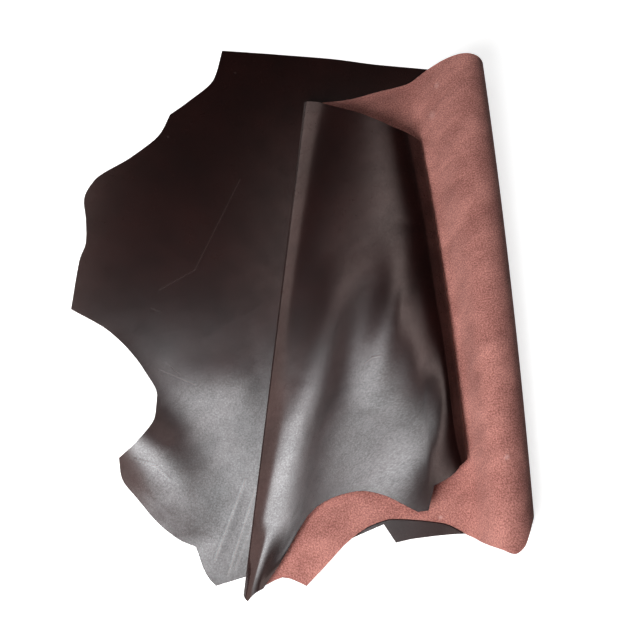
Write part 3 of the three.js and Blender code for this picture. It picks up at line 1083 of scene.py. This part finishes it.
@dataclass(frozen=True)
class Softbox:
    """A flat soft light at a place, turned to a target, in metres.

    Its glow may fade towards its left, right, near and far edges, each over its own width.
    """

    name: str
    reach: Reach
    place: Place
    target: Place
    size: Pair
    radiance: float
    colour: Place = (1.0, 1.0, 1.0)
    fade: Spread | None = None

    def build(self) -> bpy.types.Object:
        """Makes the light. A light of one radiance gives pi times that and its area in watts."""
        data = bpy.data.lights.new(self.name, "AREA")
        data.shape = "RECTANGLE"
        data.size, data.size_y = self.size
        data.energy = self.radiance * math.pi * self.size[0] * self.size[1]
        data.color = self.colour
        if self.fade:
            self._fade_edges(data)
        lamp = bpy.data.objects.new(self.name, data)
        lamp.location = self.place
        aim = Vector(self.target) - Vector(self.place)
        lamp.rotation_euler = aim.to_track_quat("-Z", "Y").to_euler()
        lamp.visible_diffuse, lamp.visible_glossy = self.reach.value
        bpy.context.scene.collection.objects.link(lamp)
        return lamp

    def _fade_edges(self, data: bpy.types.AreaLight) -> None:
        """Multiplies the glow by a smooth rise from each edge of a light that faces down.

        Args:
            data: the light.
        """
        data.use_nodes = True
        nodes = NodeTree(data.node_tree)
        position = nodes.add("ShaderNodeNewGeometry").outputs["Position"]
        split = nodes.add("ShaderNodeSeparateXYZ", {0: position})
        left, right, near, far = self.fade
        widths = ((left, right), (near, far))
        glow: Feed = 1.0
        for axis, at, size, (low, high) in zip("XY", self.place, self.size, widths):
            start, end = at - size / 2, at + size / 2
            for edge, inside in ((start, start + low), (end, end - high)):
                rise = nodes.remap(split.outputs[axis], (edge, inside, 0.0, 1.0))
                glow = nodes.scaled(glow, rise)
        shader = next(node for node in data.node_tree.nodes if node.type == "EMISSION")
        nodes.feed(shader, {"Strength": glow})


SOFTBOXES = (
    Softbox(
        "window", Reach.GLAZE, place=(-0.32, 0.04, 2.5), target=(-0.32, 0.04, 0.0),
        size=(2.06, 2.08), radiance=9.6, colour=(0.95, 0.98, 1.0), fade=(0.3, 1.4, 1.3, 0.85),
    ),
    Softbox(
        "ceiling", Reach.GLAZE, place=(0.6, 0.5, 2.5), target=(0.6, 0.5, 0.0),
        size=(2.2, 4.0), radiance=3.0, colour=(1.0, 0.84, 0.80), fade=(0.8, 1.2, 0.2, 1.9),
    ),
    Softbox(
        "key", Reach.MATT, place=(-0.8, -1.6, 1.4), target=(0.1, -0.1, 0.0),
        size=(1.2, 1.2), radiance=13.5,
    ),
    Softbox(
        "fill", Reach.MATT, place=(-0.5, 0.2, 3.0), target=(0.0, 0.0, 0.0),
        size=(2.5, 2.5), radiance=0.8,
    ),
    Softbox(
        "side", Reach.GLAZE, place=(-1.9, 0.6, 1.55), target=(0.0, 0.6, 0.0),
        size=(4.4, 2.3), radiance=1.4, colour=(1.0, 0.8, 0.75),
    ),
)


@dataclass
class Studio:
    """The pale floor, the soft lights and the camera, in metres.

    The sky's glow is a spread from low to high over the height of a direction.
    """

    floor_half: float = 6.0
    floor_colour: Colour = (0.7, 0.7, 0.7, 1.0)
    floor_roughness: float = 0.9
    floor_glow: float = 0.6
    sky_glow: Spread = (0.1, 0.6, 0.15, 0.015)
    focal_pixels: float = 900.0
    pitch: float = math.radians(66.0)
    camera_place: Place = (0.0565, -0.7536, 1.55)
    sensor: float = 36.0

    def camera(self) -> bpy.types.Object:
        """The camera: above the belly side, looking down at the side."""
        data = bpy.data.cameras.new("camera")
        data.sensor_width = self.sensor
        data.lens = self.focal_pixels / IMAGE_WIDTH * self.sensor
        camera = bpy.data.objects.new("camera", data)
        camera.location = self.camera_place
        camera.rotation_euler = Euler((math.pi / 2 - self.pitch, 0.0, 0.0))
        bpy.context.scene.collection.objects.link(camera)
        bpy.context.scene.camera = camera
        return camera

    def floor(self) -> bpy.types.Object:
        """A wide plain floor, which glows a little and casts no colour on the side."""
        half = self.floor_half
        corners = [(-half, -half, 0), (half, -half, 0), (half, half, 0), (-half, half, 0)]
        mesh = bpy.data.meshes.new("floor")
        mesh.from_pydata(corners, [], [(0, 1, 2, 3)])
        material, nodes, shader = new_material("pale floor")
        inputs = {
            "Base Color": self.floor_colour,
            "Roughness": self.floor_roughness,
            "Emission Color": WHITE,
            "Emission Strength": self.floor_glow,
        }
        nodes.feed(shader, inputs)
        mesh.materials.append(material)
        floor = bpy.data.objects.new("floor", mesh)
        bpy.context.scene.collection.objects.link(floor)
        floor.visible_diffuse = False
        return floor

    def sky(self) -> bpy.types.World:
        """A dim white surround, a little brighter near the floor."""
        world = bpy.data.worlds.new("studio")
        world.use_nodes = True
        nodes = NodeTree(world.node_tree)
        direction = nodes.add("ShaderNodeTexCoord").outputs["Generated"]
        height = nodes.add("ShaderNodeSeparateXYZ", {0: direction}).outputs["Z"]
        glow = nodes.remap(height, self.sky_glow)
        nodes.feed(world.node_tree.nodes["Background"], {"Color": WHITE, "Strength": glow})
        bpy.context.scene.world = world
        return world

    def build(self) -> None:
        """Builds the whole studio and sets the picture's contrast."""
        self.camera()
        self.floor()
        for softbox in SOFTBOXES:
            softbox.build()
        self.sky()
        bpy.context.scene.view_settings.view_transform = "Standard"
        bpy.context.scene.view_settings.look = "Medium High Contrast"


def main() -> None:
    """Builds the side and the studio, and reports each piece."""
    logging.basicConfig(level=logging.INFO, format="%(name)s: %(message)s")
    side = LeatherSide(Effects.build()).build()
    LOG.info("%s has %d faces", side.name, len(side.data.polygons))
    Studio().build()
    LOG.info("studio is set, with %d lights", len(SOFTBOXES))


if __name__ == "__main__":
    main()
